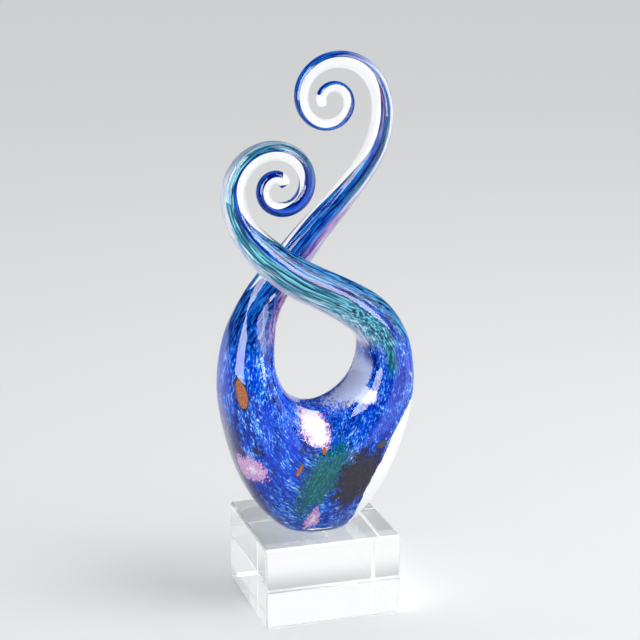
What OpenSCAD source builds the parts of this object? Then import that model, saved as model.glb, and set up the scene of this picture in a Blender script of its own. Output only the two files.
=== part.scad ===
// Swirl glass award. A thick bar of glass is folded into a loop, its two drawn-out ends cross
// and curl, and the ground foot of the loop is bonded to a clear block. Inside the clear glass
// lie the colour layers. The front faces -Y, and the origin is the centre of the underside.

/* [Base block] */
// Side of the clear block, left to right
base_w = 80; // [70:1:120]
// Side of the block, front to back
base_d = 80; // [66:1:120]
// Height of the block
base_h = 48; // [20:1:80]
// Width of the polished bevel round the block's edges
base_bevel = 1.2; // [0.4:0.1:3]

/* [Bond] */
// Thickness of the clear adhesive film under the foot
bond_t = 0.3; // [0.1:0.05:0.6]
// Length of the film, left to right
bond_w = 32; // [20:1:36]
// Depth of the film, front to back
bond_d = 36; // [20:1:40]

/* [Glass form] */
// Width of the loop at its widest
loop_w = 116; // [100:1:140]
// Height of the glass form above its ground foot
form_h = 271; // [240:1:320]
// Depth of the loop, front to back, at the bottom of the fold
loop_d = 60; // [50:1:66]
// Depth of the loop at its two shoulders
shoulder_d = 44; // [34:1:52]
// Depth of each arm where the two cross
arm_d = 18; // [12:1:24]
// Gap between the two arms where they cross
arm_gap = 0.5; // [0.3:0.1:2]
// Glass ground off the bottom of the fold to make the foot
foot_cut = 7; // [4:0.5:10]

/* [Curls] */
// Distance from the front curl's eye to the middle of its arm
front_curl_r = 26; // [23:0.5:28]
// Distance from the rear curl's eye to the middle of its arm
rear_curl_r = 30; // [26:0.5:32]
// Thickness of the front arm where its curl starts
front_curl_w = 13.8; // [10:0.2:15]
// Thickness of the rear arm where its curl starts
rear_curl_w = 12.4; // [9:0.2:14]
// Thickness of the front curl near its tip
front_tip_w = 7; // [4:0.2:8]
// Thickness of the rear curl near its tip
rear_tip_w = 5.6; // [4:0.2:7]
// How far each curl lies in front of or behind the middle of the loop
curl_offset = 6; // [0:0.5:10]

/* [Colour layers] */
// Clear glass over the colour in the loop
loop_wall = 3; // [2:0.2:5]
// Clear glass over the colour in the arms where the curls start
curl_wall = 1.3; // [0.8:0.1:2]
// Wide clear zone outside the colour at the loop's lower right
loop_band = 8; // [0:0.5:12]
// Clear band along the inside of the front curl
front_band = 3.4; // [1:0.2:5]
// Clear band along the inside of the rear curl
rear_band = 5.2; // [1:0.2:6]

/* [Chips in the colour] */
// Length of the longest copper chip, as a share of the colour's width across the loop
copper_size_share = 0.182; // [0.1:0.002:0.21]
// Length of the longest white chip, in the same way
white_size_share = 0.146; // [0.08:0.002:0.16]
// Length of the patch of crushed green glass, in the same way
green_size_share = 0.335; // [0.2:0.002:0.36]
// Length of the patch of crushed dark glass, in the same way
dark_size_share = 0.305; // [0.17:0.002:0.32]
// Depth to which the chips are pressed into the colour
chip_t = 2; // [1:0.2:3]
// Depth of the two large patches
patch_t = 3.6; // [2:0.2:5]

/* [Hidden] */

// Overrun of a cut past the face that it opens
over = 4;
// Height of the foot's ground face, and of the whole bar before grinding
foot_z = base_h + bond_t;
blank_h = form_h + foot_cut;

// Points round each section, and rings from one control section to the next
ring_n = 20;
arm_steps = 2;
loop_steps = 4;
// Rings by which a hollow stops short of a curl's tip
tip_rings = 3;
// Points of a ring that the second cane takes each side of the section's second edge
front_split = 5;
rear_split = 3;
// Sides of a chip's outline
chip_sides = 10;
// Width of the colour, on which the chips' sizes are based. A form that is low for its width
// counts as narrower by this share of its height.
low_form_share = 0.43;
colour_w = min(loop_w, low_form_share * form_h) - 2 * loop_wall;
// Squareness of a section: 2 is an ellipse, more is fuller in the corners
loop_power = 2.8;
arm_power = 2.1;

// Controls of the loop, from the right shoulder under the fold to the left shoulder:
// inner edge x and height, outer edge x and height, fullness of depth, width of the clear zone.
// X is in shares of loop_w and height in shares of blank_h.
loop_shares = [
    [0.250, 0.391, 0.488, 0.391, 0.00, 0.00],
    [0.240, 0.344, 0.500, 0.301, 0.35, 0.45],
    [0.190, 0.307, 0.438, 0.200, 0.70, 1.00],
    [0.108, 0.284, 0.300, 0.068, 0.95, 0.70],
    [0.000, 0.272, 0.000, -0.036, 1.00, 0.00],
    [-0.100, 0.288, -0.330, 0.062, 0.95, 0.00],
    [-0.168, 0.320, -0.438, 0.208, 0.70, 0.00],
    [-0.208, 0.355, -0.482, 0.306, 0.35, 0.00],
    [-0.220, 0.391, -0.462, 0.391, 0.00, 0.00]];

// Controls of an arm, from its shoulder to its curl: the edge that started inside the loop,
// then the other edge, as above, then how far the section has gone over to the crossing's
// depth, and then how far to the curl's size.
front_arm_shares = [
    [0.219, 0.417, 0.445, 0.440, 0.25, 0.0],
    [0.145, 0.445, 0.372, 0.485, 0.60, 0.0],
    [0.058, 0.470, 0.262, 0.521, 1.00, 0.0],
    [-0.034, 0.493, 0.125, 0.551, 1.00, 0.0],
    [-0.129, 0.511, -0.011, 0.578, 1.00, 0.0],
    [-0.233, 0.544, -0.123, 0.607, 1.00, 0.0],
    [-0.332, 0.583, -0.220, 0.637, 1.00, 0.2],
    [-0.412, 0.630, -0.289, 0.664, 1.00, 0.5],
    [-0.458, 0.679, -0.336, 0.693, 1.00, 0.8]];
rear_arm_shares = [
    [-0.206, 0.427, -0.428, 0.441, 0.25, 0.0],
    [-0.178, 0.463, -0.376, 0.483, 0.65, 0.0],
    [-0.120, 0.497, -0.316, 0.522, 1.00, 0.0],
    [-0.054, 0.534, -0.238, 0.560, 1.00, 0.0],
    [0.018, 0.578, -0.143, 0.606, 1.00, 0.0],
    [0.112, 0.629, -0.028, 0.656, 1.00, 0.0],
    [0.206, 0.678, 0.081, 0.701, 1.00, 0.2],
    [0.293, 0.726, 0.180, 0.746, 1.00, 0.4],
    [0.369, 0.772, 0.259, 0.788, 1.00, 0.6],
    [0.414, 0.823, 0.303, 0.832, 1.00, 0.8]];

// Eye of each curl, in the same shares
front_eye_share = [-0.186, 0.738];
rear_eye_share = [0.107, 0.899];
// Angle at which each curl starts, the angle it turns through, and the step of its controls
front_start = 180;
front_turn = -540;
rear_start = -10;
rear_turn = 600;
turn_step = 30;
// A curl's radius falls in each half turn to the first share of itself, measured from a level
// that lies the second share of the starting radius below zero
front_fall_shares = [0.74, 0.46];
rear_fall_shares = [0.60, 0.02];
// What is left of a curl's extra thickness after a quarter turn
width_left_share = 0.62;
// Depth of a curl's section for its thickness
curl_depth_share = 1.1;
// Thickness of the last controls, which round off the tip
tip_shares = [1, 0.55];
// A spline through points on a circle runs inside it by this factor
spline_share = (2 + cos(turn_step)) / 3;

// Chips on the front of the loop: place from the right shoulder to the left one, place across
// from the inner edge to the outer, length for the size named above, width for that length,
// and the angle of the long side from straight down towards the right.
copper_shares = [
    [0.90, 0.80, 1.00, 0.34, 6],
    [0.51, 0.24, 0.24, 0.70, 0],
    [0.59, 0.46, 0.44, 0.32, -28],
    [0.29, 0.70, 0.36, 0.45, -60]];
white_shares = [
    [0.525, 0.09, 1.00, 0.85, 30],
    [0.72, 0.86, 0.90, 0.60, 40],
    [0.53, 0.82, 0.76, 0.50, -22]];
green_shares = [[0.485, 0.49, 1.00, 0.34, -36]];
dark_shares = [[0.380, 0.67, 1.00, 0.42, -48]];
speck_shares = [
    [0.74, 0.76, 0.13, 0.60, 30],
    [0.60, 0.30, 0.10, 0.60, -20],
    [0.66, 0.66, 0.08, 0.70, 20]];

function lerp(a, b, t) = a + (b - a) * t;
function reversed(list) = [for (i = [len(list) - 1 : -1 : 0]) list[i]];
// A point in the middle plane, as its x and z
function bar_point(x_share, z_share) =
    [x_share * loop_w, foot_z - foot_cut + z_share * blank_h];

// A section of the bar is a list: its first edge, its second edge, the y of its middle, half its
// depth, its clear wall, the clear band at its second edge, and its squareness
function first_edge(s) = s[0];
function second_edge(s) = s[1];
function middle_y(s) = s[2];
function half_depth(s) = s[3];
function wall(s) = s[4];
function band(s) = s[5];
function squareness(s) = s[6];

loop_controls = [for (c = loop_shares)
    [bar_point(c[0], c[1]), bar_point(c[2], c[3]), 0,
        lerp(shoulder_d, loop_d, c[4]) / 2, loop_wall, loop_band * c[5], loop_power]];

function arm_controls(shares, side, curl_w, curl_band) = [for (c = shares)
    let (
        cross_y = (arm_d + arm_gap) / 2,
        y = side * lerp(lerp(0, cross_y, c[4]), curl_offset, c[5]),
        depth = lerp(lerp(shoulder_d, arm_d, c[4]), curl_w * curl_depth_share, c[5]))
    [bar_point(c[0], c[1]), bar_point(c[2], c[3]), y, depth / 2,
        lerp(loop_wall, curl_wall, c[4]), lerp(0, curl_band, c[4]),
        lerp(loop_power, arm_power, c[4])]];

function curl_control(eye, side, angle, reach, w, curl_w, curl_band) =
    let (
        spread = [cos(angle), sin(angle)],
        left = w / curl_w)
    [eye + (reach + w / 2) * spread, eye + (reach - w / 2) * spread, side * curl_offset,
        w * curl_depth_share / 2, curl_wall * left, curl_band * left, arm_power];

function curl_controls(eye_share, fall_shares, side, start, turn, r, curl_w, tip_w, curl_band) =
    let (
        eye = bar_point(eye_share[0], eye_share[1]),
        last = round(abs(turn) / turn_step))
    [for (i = [0 : last])
        let (
            turned = i * turn_step,
            fallen = (1 + fall_shares[1]) * pow(fall_shares[0], turned / 180) - fall_shares[1],
            full_w = lerp(tip_w, curl_w, pow(width_left_share, turned / 90)),
            w = full_w * (i > last - 2 ? tip_shares[i - last + 1] : 1))
        curl_control(eye, side, start + sign(turn) * turned, r * fallen / spline_share, w,
            curl_w, curl_band)];

front_controls = concat(
    arm_controls(front_arm_shares, -1, front_curl_w, front_band),
    curl_controls(front_eye_share, front_fall_shares, -1, front_start, front_turn,
        front_curl_r, front_curl_w, front_tip_w, front_band));
rear_controls = concat(
    arm_controls(rear_arm_shares, 1, rear_curl_w, rear_band),
    curl_controls(rear_eye_share, rear_fall_shares, 1, rear_start, rear_turn,
        rear_curl_r, rear_curl_w, rear_tip_w, rear_band));
controls = concat(reversed(front_controls), loop_controls, rear_controls);

// Places along the bar count its controls from the front tip
front_tip = 1;
front_cut = len(front_controls);
rear_cut = front_cut + len(loop_controls) - 1;
rear_tip = len(controls) - 2;

// Uniform cubic B-spline through the controls
function section_at(place) =
    let (
        i = min(floor(place), len(controls) - 3),
        t = place - i)
    (controls[i - 1] * pow(1 - t, 3)
        + controls[i] * (3 * pow(t, 3) - 6 * pow(t, 2) + 4)
        + controls[i + 1] * (3 * t + 3 * pow(t, 2) - 3 * pow(t, 3) + 1)
        + controls[i + 2] * pow(t, 3)) / 6;
function sections(from, to, steps) =
    [for (i = [0 : (to - from) * steps]) section_at(from + i / steps)];

// The colour's section: the glass section drawn in by its wall and by its clear band
function colour_section(s) =
    let (
        span = second_edge(s) - first_edge(s),
        along = span / norm(span))
    [first_edge(s) + along * wall(s), second_edge(s) - along * (wall(s) + band(s)),
        middle_y(s), half_depth(s) - wall(s), 0, 0, squareness(s)];

// A point of a section, from its place across (-1 to 1) and out to the front (-1 to 1)
function section_point(s, across, out) =
    let (point = lerp(first_edge(s), second_edge(s), (1 + across) / 2))
    [point[0], middle_y(s) - half_depth(s) * out, point[1]];

// One ring of points round a section, kept above the lowest level
function full_cos(angle, power) = sign(cos(angle)) * pow(abs(cos(angle)), 2 / power);
function ring(s, lowest) = [for (k = [0 : ring_n - 1])
    let (
        angle = 360 * k / ring_n,
        p = section_point(s, full_cos(angle, squareness(s)), full_cos(angle - 90, squareness(s))))
    [p[0], p[1], max(lowest, p[2])]];
function glass_ring(s) = ring(s, foot_z);
function colour_ring(s) = ring(colour_section(s), foot_z + wall(s));
function flat(lists) = [for (list = lists) for (item = list) item];

// Triangles of a wall through rings of n points, of one end, and of a flat rim
function wall_faces(rings, n, first = 0) = flat([for (j = [0 : rings - 2], k = [0 : n - 1])
    let (
        a = first + j * n + k,
        b = first + j * n + (k + 1) % n)
    [[a, b + n, b], [a, a + n, b + n]]]);
function end_faces(n, first) = [for (k = [1 : n - 2]) [first, first + k, first + k + 1]];
function rim_faces(n, outer, inner) = flat([for (k = [0 : n - 1])
    let (next = (k + 1) % n)
    [[outer + k, inner + next, inner + k], [outer + k, outer + next, inner + next]]]);
function turned_faces(faces) = [for (f = faces) [f[0], f[2], f[1]]];

// A bar of clear glass with a hollow for its colour
module hollow_bar(parts, start_open, end_open) {
    last = len(parts) - 1;
    hollow = len(parts) * ring_n;
    hollow_parts = coloured(parts, start_open, end_open);
    outer_end = last * ring_n;
    inner_end = hollow + (len(hollow_parts) - 1) * ring_n;
    faces = concat(
        wall_faces(len(parts), ring_n),
        turned_faces(wall_faces(len(hollow_parts), ring_n, hollow)),
        start_open ? rim_faces(ring_n, 0, hollow)
            : concat(end_faces(ring_n, 0), turned_faces(end_faces(ring_n, hollow))),
        end_open ? turned_faces(rim_faces(ring_n, outer_end, inner_end))
            : concat(turned_faces(end_faces(ring_n, outer_end)), end_faces(ring_n, inner_end)));
    polyhedron(
        flat(concat([for (s = parts) glass_ring(s)], [for (s = hollow_parts) colour_ring(s)])),
        faces, convexity = 8);
}

// The colour in a stretch of bar, with the ring points first to last
module colour_bar(parts, start_open, end_open, first = 0, last = ring_n - 1) {
    rings = [for (s = coloured(parts, start_open, end_open)) colour_ring(s)];
    n = last - first + 1;
    points = flat([for (r = rings) [for (k = [first : last]) r[k % ring_n]]]);
    faces = concat(wall_faces(len(rings), n), end_faces(n, 0),
        turned_faces(end_faces(n, (len(rings) - 1) * n)));
    polyhedron(points, faces, convexity = 8);
}

// The sections that hold colour: it stops short of a curl's tip
function coloured(parts, start_open, end_open) =
    [for (j = [(start_open ? 0 : tip_rings) : len(parts) - 1 - (end_open ? 0 : tip_rings)])
        parts[j]];

front_parts = sections(front_tip, front_cut, arm_steps);
loop_parts = sections(front_cut, rear_cut, loop_steps);
rear_parts = sections(rear_cut, rear_tip, arm_steps);

module crystal_base() {
    color([0.93, 0.95, 0.97, 0.35])
    hull() {
        translate([-base_w / 2 + base_bevel, -base_d / 2 + base_bevel, 0])
            cube([base_w - 2 * base_bevel, base_d - 2 * base_bevel, base_h]);
        translate([-base_w / 2, -base_d / 2 + base_bevel, base_bevel])
            cube([base_w, base_d - 2 * base_bevel, base_h - 2 * base_bevel]);
        translate([-base_w / 2 + base_bevel, -base_d / 2, base_bevel])
            cube([base_w - 2 * base_bevel, base_d, base_h - 2 * base_bevel]);
    }
}

module bond_film() {
    color([0.9, 0.93, 0.95, 0.5])
    translate([0, 0, base_h])
        linear_extrude(bond_t) scale([1, bond_d / bond_w]) circle(d = bond_w, $fn = 64);
}

module loop_casing() {
    color([0.75, 0.85, 0.95, 0.3]) hollow_bar(loop_parts, true, true);
}

module front_arm_casing() {
    color([0.75, 0.88, 0.95, 0.3]) hollow_bar(front_parts, false, true);
}

module rear_arm_casing() {
    color([0.78, 0.84, 0.95, 0.3]) hollow_bar(rear_parts, true, false);
}

module whole_core() {
    colour_bar(loop_parts, true, true);
}

// How far out a superellipse lies for its place across, and which way it faces there
function front_out(s, across) = pow(1 - pow(abs(across), squareness(s)), 1 / squareness(s));
function front_facing(s, across) =
    let (
        span = second_edge(s) - first_edge(s),
        lean = sign(across) * pow(abs(across), squareness(s) - 1) * 2 / norm(span),
        in_plane = lean * span / norm(span),
        out = pow(front_out(s, across), squareness(s) - 1) / half_depth(s),
        facing = [in_plane[0], -out, in_plane[1]])
    facing / norm(facing);

// Plugs that cut the chips out of the colour, one for each row of shares
module chip_plugs(shares, size_share, depth) {
    for (c = shares) {
        length = c[2] * size_share * colour_w;
        s = colour_section(section_at(lerp(front_cut, rear_cut, c[0])));
        across = 2 * c[1] - 1;
        facing = front_facing(s, across);
        translate(section_point(s, across, front_out(s, across)))
            rotate([0, acos(facing[2]), atan2(facing[1], facing[0])])
            rotate(c[4])
            translate([0, 0, -depth])
            linear_extrude(depth + over)
            scale([length, c[3] * length])
            circle(d = 1, $fn = chip_sides);
    }
}
module copper_plugs() { chip_plugs(copper_shares, copper_size_share, chip_t); }
module white_plugs() { chip_plugs(white_shares, white_size_share, chip_t); }
module green_plugs() { chip_plugs(green_shares, green_size_share, patch_t); }
module dark_plugs() {
    chip_plugs(dark_shares, dark_size_share, patch_t);
    chip_plugs(speck_shares, dark_size_share, chip_t);
}

module loop_colour_core() {
    color([0.06, 0.2, 0.75])
    difference() {
        whole_core();
        copper_plugs();
        white_plugs();
        green_plugs();
        dark_plugs();
    }
}

module copper_chips() {
    color([0.72, 0.38, 0.16]) intersection() { whole_core(); copper_plugs(); }
}

module pink_white_chips() {
    color([0.97, 0.85, 0.93]) intersection() { whole_core(); white_plugs(); }
}

module green_patch() {
    color([0.05, 0.42, 0.42]) intersection() { whole_core(); green_plugs(); }
}

module dark_chips() {
    color([0.2, 0.2, 0.28]) intersection() { whole_core(); dark_plugs(); }
}

module front_arm_teal_cane() {
    color([0.05, 0.45, 0.5])
        colour_bar(front_parts, false, true, front_split, ring_n - front_split);
}

module front_arm_cobalt_cane() {
    color([0.04, 0.15, 0.6])
        colour_bar(front_parts, false, true, ring_n - front_split, ring_n + front_split);
}

module rear_arm_cobalt_cane() {
    color([0.04, 0.17, 0.65])
        colour_bar(rear_parts, true, false, rear_split, ring_n - rear_split);
}

module rear_arm_pink_cane() {
    color([0.85, 0.5, 0.75])
        colour_bar(rear_parts, true, false, ring_n - rear_split, ring_n + rear_split);
}

crystal_base();
bond_film();
loop_casing();
front_arm_casing();
rear_arm_casing();
loop_colour_core();
front_arm_teal_cane();
front_arm_cobalt_cane();
rear_arm_cobalt_cane();
rear_arm_pink_cane();
copper_chips();
pink_white_chips();
green_patch();
dark_chips();
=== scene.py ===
# %% [markdown]
# # A swirl-shaped glass award on a clear block
#
# The award is one thick bar of hot glass that was folded into a loop. Its two drawn-out ends
# cross and end in curls, and the ground foot of the loop is bonded to a polished block. Clear
# glass lies over colour: streaked cobalt in the loop, and thin canes of teal, cobalt and pink in
# the two arms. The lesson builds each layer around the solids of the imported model, in metres.

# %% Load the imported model
import math

import bpy
import numpy as np
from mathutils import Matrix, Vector


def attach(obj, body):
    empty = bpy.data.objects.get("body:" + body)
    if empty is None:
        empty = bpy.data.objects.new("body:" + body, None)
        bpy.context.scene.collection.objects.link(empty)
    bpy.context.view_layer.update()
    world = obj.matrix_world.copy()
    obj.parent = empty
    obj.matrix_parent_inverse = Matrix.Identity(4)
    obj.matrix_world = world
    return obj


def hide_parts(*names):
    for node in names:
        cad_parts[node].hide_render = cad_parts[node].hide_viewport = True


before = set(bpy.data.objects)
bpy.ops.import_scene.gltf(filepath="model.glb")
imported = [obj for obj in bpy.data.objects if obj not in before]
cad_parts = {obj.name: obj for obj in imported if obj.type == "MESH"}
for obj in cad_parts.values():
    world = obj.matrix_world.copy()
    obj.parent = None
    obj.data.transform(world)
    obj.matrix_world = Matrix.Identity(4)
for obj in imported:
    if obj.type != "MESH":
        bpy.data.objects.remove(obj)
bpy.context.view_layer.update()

print("nodes in the frame:", ", ".join(sorted(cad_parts)))

# %% [markdown]
# ## The sizes of the award
#
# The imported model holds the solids, but not the curves that they were made from. A smooth
# surface needs those curves, so this cell repeats the source's named sizes. Only the loop's and
# the front arm's clear bands, at the end, have widths of this scene's own. All are written in
# millimetres, as a glass worker would note them, and turned into metres by one factor.

# %% Name the sizes
MM = 0.001

# The block, and the adhesive under the foot
block_width, block_height, block_bevel = 80 * MM, 48 * MM, 1.2 * MM
film_width, film_depth, film_thickness = 32 * MM, 36 * MM, 0.3 * MM

# The glass form from side to side and above its foot, and its depth in four places
loop_width, form_height = 116 * MM, 271 * MM
loop_depth, shoulder_depth, arm_depth, arm_gap = 60 * MM, 44 * MM, 18 * MM, 0.5 * MM
foot_cut = 7 * MM

# The curls: radius at the start, thickness there and at the tip, and place in front or behind
front_curl_radius, front_curl_width, front_tip_width = 26 * MM, 13.8 * MM, 7 * MM
rear_curl_radius, rear_curl_width, rear_tip_width = 30 * MM, 12.4 * MM, 5.6 * MM
curl_offset = 6 * MM

# Clear glass all round the colour, and in the wide bands on one side of it
loop_wall, curl_wall = 3 * MM, 1.3 * MM
loop_band, front_band, rear_band = 4 * MM, 4.3 * MM, 5.2 * MM

# The foot was ground off a form that was a little taller
foot_level = block_height + film_thickness
blank_height = form_height + foot_cut
print(f"the glass form stands {form_height / MM:.0f} mm above its foot")

# %% [markdown]
# ## The path of the bar
#
# On the real award the bar's section changes all the way: it is 60 mm deep at the bottom of the
# fold and as thin as a pencil at the tips. A tube of constant width can't do that. Each control
# section therefore has two edges, in the plane of the award, and a depth. A spline through the
# controls gives every section between them. The controls are shares of the form's width and
# height, so that they keep their meaning when a size changes.

# %% Set out the loop's controls
# Inner edge x and height, outer edge x and height, fullness of depth, width of the clear zone
loop_shares = [
    (0.250, 0.391, 0.488, 0.391, 0.00, 0.00),
    (0.240, 0.344, 0.500, 0.301, 0.35, 0.45),
    (0.190, 0.307, 0.438, 0.200, 0.70, 1.00),
    (0.108, 0.284, 0.300, 0.068, 0.95, 0.70),
    (0.000, 0.272, 0.000, -0.036, 1.00, 0.00),
    (-0.100, 0.288, -0.330, 0.062, 0.95, 0.00),
    (-0.168, 0.320, -0.438, 0.208, 0.70, 0.00),
    (-0.208, 0.355, -0.482, 0.306, 0.35, 0.00),
    (-0.220, 0.391, -0.462, 0.391, 0.00, 0.00),
]
print(len(loop_shares), "controls for the loop")

# %% Set out the arms' controls
# The edge that started inside the loop, the other edge, how far the section has gone over to the
# crossing's depth, and how far to the curl's size
front_arm_shares = [
    (0.219, 0.417, 0.445, 0.440, 0.25, 0.0),
    (0.145, 0.445, 0.372, 0.485, 0.60, 0.0),
    (0.058, 0.470, 0.262, 0.521, 1.00, 0.0),
    (-0.034, 0.493, 0.125, 0.551, 1.00, 0.0),
    (-0.129, 0.511, -0.011, 0.578, 1.00, 0.0),
    (-0.233, 0.544, -0.123, 0.607, 1.00, 0.0),
    (-0.332, 0.583, -0.220, 0.637, 1.00, 0.2),
    (-0.412, 0.630, -0.289, 0.664, 1.00, 0.5),
    (-0.458, 0.679, -0.336, 0.693, 1.00, 0.8),
]
rear_arm_shares = [
    (-0.206, 0.427, -0.428, 0.441, 0.25, 0.0),
    (-0.178, 0.463, -0.376, 0.483, 0.65, 0.0),
    (-0.120, 0.497, -0.316, 0.522, 1.00, 0.0),
    (-0.054, 0.534, -0.238, 0.560, 1.00, 0.0),
    (0.018, 0.578, -0.143, 0.606, 1.00, 0.0),
    (0.112, 0.629, -0.028, 0.656, 1.00, 0.0),
    (0.206, 0.678, 0.081, 0.701, 1.00, 0.2),
    (0.293, 0.726, 0.180, 0.746, 1.00, 0.4),
    (0.369, 0.772, 0.259, 0.788, 1.00, 0.6),
    (0.414, 0.823, 0.303, 0.832, 1.00, 0.8),
]
# How squared a section is: 2 is an ellipse, and more is fuller in the corners
loop_power, arm_power = 2.8, 2.1
print(len(front_arm_shares), "and", len(rear_arm_shares), "controls for the arms")

# %% [markdown]
# ## The curls
#
# Each arm ends in a spiral that was wound while the glass was soft. An arc of a circle could be
# bent round the eye, but a real curl closes faster and faster. Here each half turn leaves only a
# share of the radius, and each quarter turn a share of the extra thickness. The wide clear band
# lies on the inside of each curl, and runs on down its arm.

# %% Name the curls' turns
# Where each eye lies, in shares of the form's width and height
front_eye_share, rear_eye_share = (-0.186, 0.738), (0.107, 0.899)
# Degrees at which each curl starts and through which it turns, from one control to the next
front_start, front_turn = 180, -540
rear_start, rear_turn = -10, 600
turn_step = 30
# What a half turn leaves of the radius, and how far below zero that is measured
front_fall_shares, rear_fall_shares = (0.74, 0.46), (0.60, 0.02)
# What a quarter turn leaves of the extra thickness, and the last controls, which round the tip
width_left_share = 0.62
tip_shares = (1, 0.55)
curl_depth_share = 1.1
# Width of each arm's clear band at the crossing and how much more it swells below the curl
front_band_shares, rear_band_shares = (0.5, 0), (1, 0.2)
# How much the band has grown in the curl after so many degrees
band_growth, growth_turn = 1.25, 150
# A spline through points on a circle runs inside it by this factor
spline_share = (2 + math.cos(math.radians(turn_step))) / 3
print("the curls turn through", -front_turn, "and", rear_turn, "degrees")


# %% Work out the controls of the loop and the arms
def lerp(a, b, t):
    """a where t is 0, b where t is 1, and in proportion between them."""
    return a + (b - a) * t


def bar_point(x_share, height_share):
    """A point in the plane of the award: x share times loop width, height share times blank."""
    return x_share * loop_width, foot_level - foot_cut + height_share * blank_height


def loop_controls():
    """Rows of first edge x, z, second edge x, z, middle y, half depth, wall, band, squareness."""
    return [
        (*bar_point(x1, z1), *bar_point(x2, z2), 0,
         lerp(shoulder_depth, loop_depth, full) / 2, loop_wall, loop_band * clear, loop_power)
        for x1, z1, x2, z2, full, clear in loop_shares
    ]


def arm_controls(shares, side, curl_width, curl_band, band_shares):
    """Depth and y go over to the crossing's, then to the curl's. The band swells by 4 t (1-t)."""
    crossing = (arm_depth + arm_gap) / 2
    crossing_share, swell = band_shares
    rows = []
    for x1, z1, x2, z2, crossed, curled in shares:
        middle = side * lerp(crossing * crossed, curl_offset, curled)
        depth = lerp(lerp(shoulder_depth, arm_depth, crossed),
                     curl_width * curl_depth_share, curled)
        band = lerp(crossed * crossing_share, 1, curled) + swell * 4 * curled * (1 - curled)
        rows.append((*bar_point(x1, z1), *bar_point(x2, z2), middle, depth / 2,
                     lerp(loop_wall, curl_wall, crossed), curl_band * band,
                     lerp(loop_power, arm_power, crossed)))
    return rows


# %% Wind the curls
def curl_controls(eye_share, falls, side, start, turn, radius, curl_width, tip_width, band):
    """A spiral: radius times ((1 + f1) f0^(half turns) - f1), at an angle that turns evenly."""
    eye_x, eye_z = bar_point(*eye_share)
    last = round(abs(turn) / turn_step)
    rows = []
    for i in range(last + 1):
        turned = i * turn_step
        fallen = (1 + falls[1]) * falls[0] ** (turned / 180) - falls[1]
        width = lerp(tip_width, curl_width, width_left_share ** (turned / 90))
        if i > last - 2:
            width *= tip_shares[i - last + 1]
        reach = radius * fallen / spline_share
        outer, inner = reach + width / 2, reach - width / 2
        angle = math.radians(start + math.copysign(turned, turn))
        right, up = math.cos(angle), math.sin(angle)
        left = width / curl_width
        rows.append((eye_x + outer * right, eye_z + outer * up,
                     eye_x + inner * right, eye_z + inner * up,
                     side * curl_offset, width * curl_depth_share / 2, curl_wall * left,
                     band * left * lerp(1, band_growth, min(turned / growth_turn, 1)), arm_power))
    return rows


# %% Join the controls into one bar
front_controls = arm_controls(front_arm_shares, -1, front_curl_width, front_band,
                              front_band_shares)
front_controls += curl_controls(front_eye_share, front_fall_shares, -1, front_start, front_turn,
                                front_curl_radius, front_curl_width, front_tip_width, front_band)
rear_controls = arm_controls(rear_arm_shares, 1, rear_curl_width, rear_band, rear_band_shares)
rear_controls += curl_controls(rear_eye_share, rear_fall_shares, 1, rear_start, rear_turn,
                               rear_curl_radius, rear_curl_width, rear_tip_width, rear_band)
controls = np.array(front_controls[::-1] + loop_controls() + rear_controls)

# Places along the bar are counted in controls: its tips, and the cuts between loop and arms
front_tip = 1
front_cut = len(front_controls)
rear_cut = front_cut + len(loop_shares) - 1
rear_tip = len(controls) - 2
print(len(controls), "control sections in one bar, cut at", front_cut, "and", rear_cut)

# %% [markdown]
# ## From controls to smooth sections
#
# Hot glass has no corners, so the sections between the controls come from a uniform cubic
# B-spline. Its weights can be worked out for all places at once, as whole arrays. The outline of
# a section is a superellipse, a rounded rectangle that runs from nearly square in the loop to
# nearly an ellipse in the arms.

# %% Work out the sections
# Where each value stands in the row of a section
FIRST, SECOND, MIDDLE, HALF_DEPTH, WALL, BAND, POWER = slice(0, 2), slice(2, 4), 4, 5, 6, 7, 8


def sections_at(places):
    """Sums of four controls with weights (1-t)^3, 3t^3-6t^2+4, 1+3t+3t^2-3t^3 and t^3, over 6."""
    i = np.minimum(np.floor(places).astype(int), len(controls) - 3)
    t = (places - i)[:, None]
    weights = ((1 - t) ** 3, 3 * t ** 3 - 6 * t ** 2 + 4,
               1 + 3 * t + 3 * t ** 2 - 3 * t ** 3, t ** 3)
    return sum(w * controls[i + k - 1] for k, w in enumerate(weights)) / 6


def inner_at(places):
    """The colour's sections: less the wall all round, and less the band at the second edge."""
    inner = sections_at(places)
    span = inner[:, SECOND] - inner[:, FIRST]
    along = span / np.linalg.norm(span, axis=1, keepdims=True)
    inner[:, FIRST] += along * inner[:, WALL, None]
    inner[:, SECOND] -= along * (inner[:, WALL, None] + inner[:, BAND, None])
    inner[:, HALF_DEPTH] -= inner[:, WALL]
    return inner


fold_place = (front_cut + rear_cut) / 2
fold_depth = 2 * sections_at(np.array([fold_place]))[0, HALF_DEPTH]
print(f"at the fold the bar is {fold_depth / MM:.0f} mm deep")


# %% Round the outlines
def outline(angles, power):
    """Superellipse in polar form: radius (|cos|^p + |sin|^p)^(-1/p) at each angle."""
    c, s = np.cos(angles), np.sin(angles)
    radius = (np.abs(c) ** power + np.abs(s) ** power) ** (-1 / power)
    return radius * c, radius * s


def section_points(sections, across, out):
    """Points between the edges, -1 to 1 across, with y the middle less half depth times out."""
    half = (1 + across)[..., None] / 2
    plane = sections[:, None, FIRST] * (1 - half) + sections[:, None, SECOND] * half
    y = sections[:, MIDDLE, None] - sections[:, HALF_DEPTH, None] * out
    return np.stack([plane[..., 0], y, plane[..., 1]], axis=-1)


corner_reach = math.hypot(*outline(math.radians(45), loop_power))
print(f"a loop section reaches {corner_reach:.2f} of its half size at the corners")


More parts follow.
